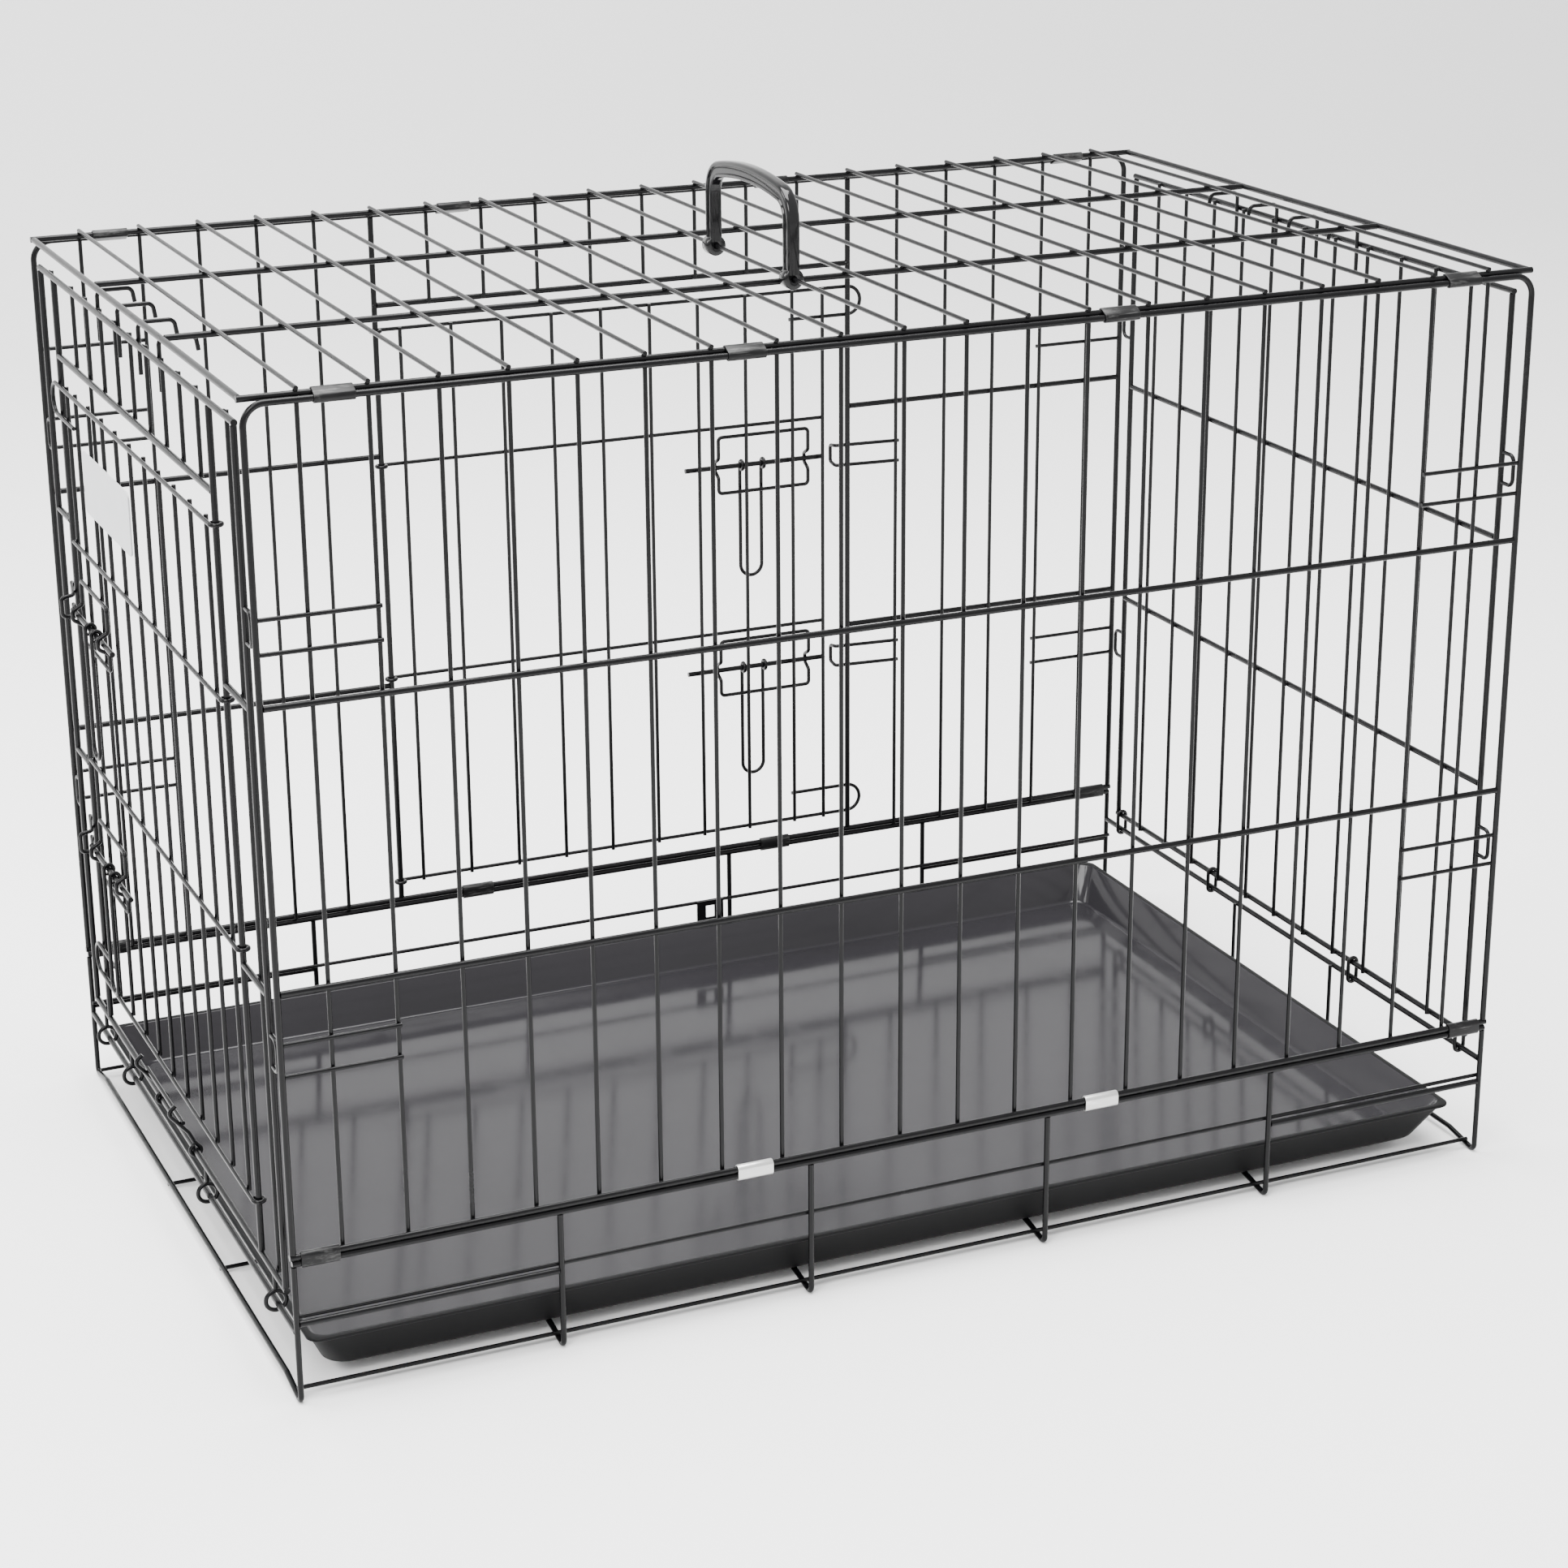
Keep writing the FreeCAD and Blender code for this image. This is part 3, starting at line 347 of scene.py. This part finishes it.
END_INSET = 22.0 * MM
END_BAYS = 12
RIGHT_BARS = (88.65 * MM, 287.0 * MM, 474.0 * MM, 652.0 * MM)
end_first_y = front_y + END_INSET
end_last_y = rear_y - END_INSET
right_ys = [end_first_y + (end_last_y - end_first_y) * n / END_BAYS for n in range(1, END_BAYS)]
spots = [(right_x - SPOT_IN, y, z) for y in right_ys for z in RIGHT_BARS]
grow("right_end_weld_beads", bead_tree, spots, {"Bead size": BEAD_SIZE, "Spread": END_SPREAD, "Seed": 7},
     "right_end")
HEADER_BARS = (595.0 * MM, 652.0 * MM)
LEFT_BARS = (73.0 * MM, 281.0 * MM, 471.0 * MM, 652.0 * MM)
header_ys = [front_y + (80.0 + 43.2 * n) * MM for n in range(1, 10)]
doorway_ys = (front_y + 51.0 * MM, front_y + 533.0 * MM)
spots = [(left_x + SPOT_IN, y, z) for y in header_ys for z in HEADER_BARS]
spots += [(left_x + SPOT_IN, y, z) for y in doorway_ys for z in LEFT_BARS]
grow("left_end_weld_beads", bead_tree, spots, {"Bead size": BEAD_SIZE, "Spread": END_SPREAD, "Seed": 9},
     "left_end")

# --- Seam clips ---------------------------------------------------------------------------------
# Strips of sheet steel, folded round the two wires of each seam so that the panels can turn. They
# are black like the panels, with rubbed folds, and the two inner ones at the base's front are drawn light
# grey and metallic.
CLIP_LENGTH = 26.0 * MM
CLIP_WALL = 1.0 * MM
CLIP_TUBE = 3.3 * MM
clip_coat = Finish("clip_coating")
clip_mottle = clip_coat.noise(60.0, 4.0)
clip_rub = clip_coat.noise(190.0, 5.0, 0.7, (0.25, 1.0, 1.0)).between(0.52, 0.68)
clip_scratch = clip_coat.noise(700.0, 2.0, 0.5, (0.06, 1.0, 1.0)).between(0.6, 0.7)
along, depth, height = [
    clip_coat.add("ShaderNodeSeparateXYZ", {}, {"Vector": clip_coat.place}, axis) for axis in range(3)
]
# Light grey metal is drawn on the two inner clips at the base's front, picked out by their place.
light_metal_patch = along.math("ABSOLUTE").between(0.30, 0.29) * height.between(0.2, 0.19) * depth.between(0.0, -0.01)
# Random rubbed wear on all clips, plus the light grey metal on the two inner base-front clips.
wear_and_light_metal = (clip_rub * 0.06 + clip_scratch * 0.05 + light_metal_patch * (0.75 + clip_rub * 0.2)).math("MINIMUM", 1.0)
clip_black = clip_coat.blend(clip_mottle, (0.002, 0.002, 0.0022, 1), (0.007, 0.007, 0.0075, 1))
clip_coat.set(
    Base_Color=clip_coat.blend(wear_and_light_metal, clip_black, (0.72, 0.72, 0.71, 1)),
    Metallic=wear_and_light_metal,
    Roughness=0.26 + clip_mottle * 0.14,
    Normal=clip_coat.bump(clip_mottle, 0.3, 0.0001),
)
clip_coat.shader.inputs["Specular IOR Level"].default_value = 0.16
clip_tree, clip_in, clip_end = new_tree(
    "seam_clip", {"Length": ("NodeSocketFloat", 0.026), "Wall": ("NodeSocketFloat", 0.001),
                  "Across": ("NodeSocketFloat", 0.0093), "Through": ("NodeSocketFloat", 0.0046),
                  "Turn": ("NodeSocketVector", (0.0, 0.0, 0.0))}, clip_coat.material)
fold = in_tree(clip_tree, "GeometryNodeCurvePrimitiveQuadrilateral", {"mode": "RECTANGLE"},
               {"Width": clip_in.outputs["Across"], "Height": clip_in.outputs["Through"]})
half_through = in_tree(clip_tree, "ShaderNodeMath", {"operation": "MULTIPLY"},
                       {0: clip_in.outputs["Through"], 1: 0.499})
fold = in_tree(clip_tree, "GeometryNodeFilletCurve", {"mode": "POLY"},
               {"Curve": fold, "Radius": half_through, "Count": 7})
strip = in_tree(clip_tree, "GeometryNodeCurvePrimitiveQuadrilateral", {"mode": "RECTANGLE"},
                {"Width": clip_in.outputs["Wall"], "Height": clip_in.outputs["Length"]})
strip = in_tree(clip_tree, "GeometryNodeFilletCurve", {"mode": "POLY"},
                {"Curve": strip, "Radius": 0.00035, "Count": 3})
folded = in_tree(clip_tree, "GeometryNodeCurveToMesh", {}, {"Curve": fold, "Profile Curve": strip,
                                                           "Fill Caps": False})
clip_end(in_tree(clip_tree, "GeometryNodeInstanceOnPoints", {},
                 {"Points": clip_in.outputs["Geometry"], "Instance": folded,
                  "Rotation": clip_in.outputs["Turn"]}))


def clip_turn(slope):
    """Stands a folded clip with its length along the seam and its width up the slope."""
    across = Vector((0.0, math.cos(slope), math.sin(slope)))
    through = Vector((0.0, -math.sin(slope), math.cos(slope)))
    return Matrix((across, through, (1.0, 0.0, 0.0))).transposed().to_euler("XYZ")


SEAM_DROP = 2.6 * MM
TOP_SLOPE = math.atan2(SEAM_DROP, SEAM_STEP)
TOP_WIRES_APART = math.hypot(SEAM_STEP, SEAM_DROP)
BASE_WIRES_APART = 4.7 * MM
CLIP_ROWS = {
    "top_front_clips": (1, TOP_SLOPE, TOP_WIRES_APART),
    "top_rear_clips": (-1, TOP_SLOPE, TOP_WIRES_APART),
    "base_front_clips": (1, math.pi / 2, BASE_WIRES_APART),
    "base_rear_clips": (-1, math.pi / 2, BASE_WIRES_APART),
}
for node, (facing, slope, wires_apart) in CLIP_ROWS.items():
    low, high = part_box(node)
    halves = [low.x + CLIP_LENGTH / 2, high.x - CLIP_LENGTH / 2]
    inner = [(fill_xs[6] + fill_xs[7]) / 2, (fill_xs[12] + fill_xs[13]) / 2]
    xs = [halves[0], inner[0], inner[1], halves[1]]
    across = 2 * CLIP_TUBE - CLIP_WALL + wires_apart
    settings = {"Length": CLIP_LENGTH, "Wall": CLIP_WALL * 0.96, "Across": across,
                "Through": 2 * CLIP_TUBE - CLIP_WALL, "Turn": tuple(clip_turn(facing * slope))}
    centre_y = (low.y + high.y) / 2
    centre_z = (low.z + high.z) / 2
    places = [(x, centre_y, centre_z) for x in xs]
    clips = grow(node + "_folded", clip_tree, places, settings, "frame")
    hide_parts(node)

# --- Tray ---------------------------------------------------------------------------------------
# One black polypropylene pan, moulded thin, with flared walls, tight corners and a narrow lip. Its
# inner skin is smooth and shines like dark glass and is painted a lighter black as painted light, while
# the outside is matt from the mould and painted a deeper black as painted shade.
pan_low, pan_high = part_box("tray")
PAN_WALL = 2.2 * MM
PAN_LIP = 3.0 * MM
PAN_FLARE = 14.0 * MM
PAN_CORNER = 9.0 * MM
pan_depth = pan_high.z - pan_low.z
pan_inside_painted_lit = Finish("tray_inner_skin_painted_lit")
inner_cloud = pan_inside_painted_lit.noise(6.0, 3.0)
inner_grain = pan_inside_painted_lit.noise(500.0, 3.0)
inner_haze = pan_inside_painted_lit.noise(26.0, 5.0, 0.65).between(0.45, 0.75)
# The inner skin's base colour is painted lighter than the outside as painted light.
pan_inside_painted_lit.set(
    Base_Color=pan_inside_painted_lit.blend(inner_cloud, (0.013, 0.0125, 0.014, 1), (0.020, 0.019, 0.0215, 1)),
    Roughness=0.09 + inner_cloud * 0.05 + inner_haze * 0.05,
    Normal=pan_inside_painted_lit.bump(inner_grain, 0.08, 0.00005),
)
pan_inside_painted_lit.shader.inputs["Specular IOR Level"].default_value = 0.2
pan_outside_painted_shade = Finish("tray_outer_skin_painted_shade")
outer_cloud = pan_outside_painted_shade.noise(9.0, 4.0)
outer_grain = pan_outside_painted_shade.noise(650.0, 3.0)
# The outer skin's base colour is painted darker than the inside as painted shade.
pan_outside_painted_shade.set(
    Base_Color=pan_outside_painted_shade.blend(outer_cloud, (0.0015, 0.0015, 0.0017, 1), (0.004, 0.004, 0.0045, 1)),
    Roughness=0.42 + outer_cloud * 0.15,
    Normal=pan_outside_painted_shade.bump(outer_grain, 0.3, 0.0001),
)
pan_outside_painted_shade.shader.inputs["Specular IOR Level"].default_value = 0.10
FLOOR_BEND = 4.0 * MM
slope_angle = math.atan2(pan_depth, PAN_FLARE)


def fillet_arc(inset, z, bend, steps, turn):
    """Points of the bend between a flat floor and a flared wall, from the floor side."""
    reach = bend * math.tan(turn / 2)
    for n in range(steps + 1):
        angle = turn * n / steps
        yield (inset + reach - bend * math.sin(angle), z + bend * (1 - math.cos(angle)))


inner_foot = PAN_LIP + PAN_FLARE + PAN_WALL - PAN_WALL * PAN_FLARE / pan_depth
outer_foot = PAN_LIP + PAN_FLARE
edge = 0.55 * MM
pan_profile = list(fillet_arc(inner_foot, PAN_WALL, FLOOR_BEND, 6, slope_angle))
pan_profile += [(PAN_LIP + PAN_WALL + edge * 0.4, pan_depth - edge),
                (PAN_LIP + PAN_WALL - edge, pan_depth),
                (edge, pan_depth), (edge * 0.3, pan_depth - edge * 0.3), (0.0, pan_depth - edge),
                (0.0, pan_depth - PAN_WALL + edge), (edge, pan_depth - PAN_WALL),
                (PAN_LIP, pan_depth - PAN_WALL)]
pan_profile += list(reversed(list(fillet_arc(outer_foot, 0.0, FLOOR_BEND + PAN_WALL, 6, slope_angle))))
pan_form = bmesh.new()
pan_rings = []
CORNER_STEPS = 10
half_x = (pan_high.x - pan_low.x) / 2
half_y = (pan_high.y - pan_low.y) / 2
centre = Vector(((pan_low.x + pan_high.x) / 2, (pan_low.y + pan_high.y) / 2, pan_low.z))
for inset, z in pan_profile:
    radius = PAN_CORNER + inset * 0.4
    ring = []
    for corner, (sx, sy) in enumerate(((1, 1), (-1, 1), (-1, -1), (1, -1))):
        cx = sx * (half_x - inset - radius)
        cy = sy * (half_y - inset - radius)
        for n in range(CORNER_STEPS + 1):
            angle = math.radians(90 * corner + 90 * n / CORNER_STEPS)
            ring.append(pan_form.verts.new(centre + Vector((cx + radius * math.cos(angle),
                                                            cy + radius * math.sin(angle), z))))
    pan_rings.append(ring)
INNER_RINGS = 8
for number, (first, second) in enumerate(zip(pan_rings, pan_rings[1:])):
    for n in range(len(first)):
        m = (n + 1) % len(first)
        face = pan_form.faces.new((first[n], first[m], second[m], second[n]))
        face.material_index = 0 if number < INNER_RINGS else 1
pan_form.faces.new(pan_rings[0])
underside = pan_form.faces.new(list(reversed(pan_rings[-1])))
underside.material_index = 1
bmesh.ops.recalc_face_normals(pan_form, faces=pan_form.faces)
pan_mesh = bpy.data.meshes.new("tray_pan")
pan_form.to_mesh(pan_mesh)
pan_form.free()
pan_mesh.shade_smooth()
pan_mesh.set_sharp_from_angle(angle=math.radians(50))
pan_mesh.materials.append(pan_inside_painted_lit.material)
pan_mesh.materials.append(pan_outside_painted_shade.material)
pan_piece = bpy.data.objects.new("tray_pan", pan_mesh)
bpy.context.scene.collection.objects.link(pan_piece)
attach(pan_piece, "tray")
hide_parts("tray")

# --- Carry handle -------------------------------------------------------------------------------
# A glossy black moulding: a crowned arch with a shallow channel along each side, and a round boss
# at each foot that snaps over one of the top's cross wires and turns on it.
grip_low, grip_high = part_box("carry_handle")
BOSS_RADIUS = 7.5 * MM
GRIP_WIDE = 4.6 * MM
GRIP_THICK = 6.0 * MM
BOSS_WIDE = 11.0 * MM
hinge = Vector(((grip_low.x + grip_high.x) / 2, (grip_low.y + grip_high.y) / 2, grip_low.z + BOSS_RADIUS))
foot_y = (grip_high.y - grip_low.y) / 2 - BOSS_WIDE / 2
grip_top = grip_high.z - hinge.z - GRIP_THICK
grip_coat = Finish("handle_gloss_plastic")
grip_flow = grip_coat.noise(16.0, 3.0)
grip_dust = grip_coat.noise(300.0, 5.0, 0.7).between(0.55, 0.8)
grip_marks = grip_coat.noise(140.0, 3.0, 0.6, (1.0, 0.1, 0.3)).between(0.64, 0.72)
grip_coat.set(
    Base_Color=grip_coat.blend(grip_flow, (0.002, 0.002, 0.0022, 1), (0.005, 0.005, 0.0055, 1)),
    Roughness=0.11 + grip_dust * 0.06 + grip_marks * 0.12,
    Normal=grip_coat.bump(grip_flow, 0.3, 0.0006),
)
grip_coat.shader.inputs["Specular IOR Level"].default_value = 0.28
GRIP_BEND = 18.0 * MM
GRIP_CROWN = 7.0 * MM
arch = [(-foot_y, z * MM) for z in (3.0, 10.0, 20.0, 30.0, 36.0)]
shoulder = grip_top - GRIP_CROWN - GRIP_BEND * 0.86
arch += [(-foot_y + GRIP_BEND * (1 - math.cos(a)), shoulder + GRIP_BEND * math.sin(a))
         for a in [math.radians(6.5 * n) for n in range(0, 13)]]
crown_y, crown_z = arch[-1]
arch += [(crown_y * (1 - n / 8), crown_z + (grip_top - crown_z) * (1 - (1 - n / 8) ** 2))
         for n in range(1, 9)]
arch += [(-y, z) for y, z in reversed(arch[:-1])]
grip_route = []
for before, here, after in zip([arch[0]] + arch, arch, arch[1:] + [arch[-1]]):
    heading = Vector((0, after[0] - before[0], after[1] - before[1])).normalized()
    grip_route.append((Vector((0, here[0], here[1])), heading))
grip_form = bmesh.new()
grip_rings = []
SECTION = [(0.96, 0.42), (0.98, 0.62), (0.90, 0.84), (0.66, 0.97), (0.3, 1.0), (-0.3, 1.0), (-0.66, 0.97),
           (-0.90, 0.84), (-0.98, 0.62), (-0.96, 0.42), (-0.74, 0.34), (-0.70, 0.0), (-0.74, -0.46),
           (-0.94, -0.56), (-0.96, -0.78), (-0.78, -0.95), (-0.4, -1.0), (0.4, -1.0), (0.78, -0.95),
           (0.96, -0.78), (0.94, -0.56), (0.74, -0.46), (0.70, 0.0), (0.74, 0.34)]
for point, along in grip_route:
    outward = Vector((1, 0, 0)).cross(along)
    ring = [grip_form.verts.new(hinge + point + Vector((1, 0, 0)) * (a * GRIP_WIDE * 0.985)
                                + outward * (b * GRIP_THICK * 0.985)) for a, b in SECTION]
    grip_rings.append(ring)
for first, second in zip(grip_rings, grip_rings[1:]):
    for n in range(len(first)):
        m = (n + 1) % len(first)
        grip_form.faces.new((first[n], first[m], second[m], second[n]))
grip_form.faces.new(grip_rings[0])
grip_form.faces.new(list(reversed(grip_rings[-1])))
BOSS_PROFILE = [(1.62, -4.7), (2.3, -5.4), (6.6, -5.4), (7.3, -4.7),
                (7.3, 4.7), (6.6, 5.4), (2.3, 5.4), (1.62, 4.7)]
BOSS_STEPS = 36
for middle_y in (-foot_y, foot_y):
    turns = []
    for n in range(BOSS_STEPS):
        angle = 2 * math.pi * n / BOSS_STEPS
        spoke = Vector((math.cos(angle), 0.0, math.sin(angle)))
        turns.append([grip_form.verts.new(hinge + spoke * (r * MM) + Vector((0.0, middle_y + y * MM, 0.0)))
                      for r, y in BOSS_PROFILE])
    for n in range(BOSS_STEPS):
        first, second = turns[n], turns[(n + 1) % BOSS_STEPS]
        for k in range(len(first)):
            j = (k + 1) % len(first)
            grip_form.faces.new((first[k], first[j], second[j], second[k]))
bmesh.ops.recalc_face_normals(grip_form, faces=grip_form.faces)
grip_mesh = bpy.data.meshes.new("carry_handle_moulding")
grip_form.to_mesh(grip_mesh)
grip_form.free()
grip_mesh.shade_smooth()
grip_mesh.set_sharp_from_angle(angle=math.radians(48))
grip_mesh.materials.append(grip_coat.material)
grip_piece = bpy.data.objects.new("carry_handle_moulding", grip_mesh)
bpy.context.scene.collection.objects.link(grip_piece)
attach(grip_piece, "carry_handle")
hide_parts("carry_handle")

# --- Label plate --------------------------------------------------------------------------------
# A blank plate of pale grey plastic with rounded corners and a bevelled rim, pressed on to the end
# door's wires. Its face is slightly pebbled.
plate_coat = Finish("plate_grey_plastic")
plate_cloud = plate_coat.noise(45.0, 3.0)
plate_pebble = plate_coat.noise(850.0, 2.0)
plate_coat.set(
    Base_Color=plate_coat.blend(plate_cloud, (0.50, 0.51, 0.52, 1), (0.60, 0.61, 0.62, 1)),
    Roughness=0.38 + plate_cloud * 0.15,
    Normal=plate_coat.bump(plate_pebble, 0.3, 0.0001),
)
dress(["label_plate"], plate_coat)
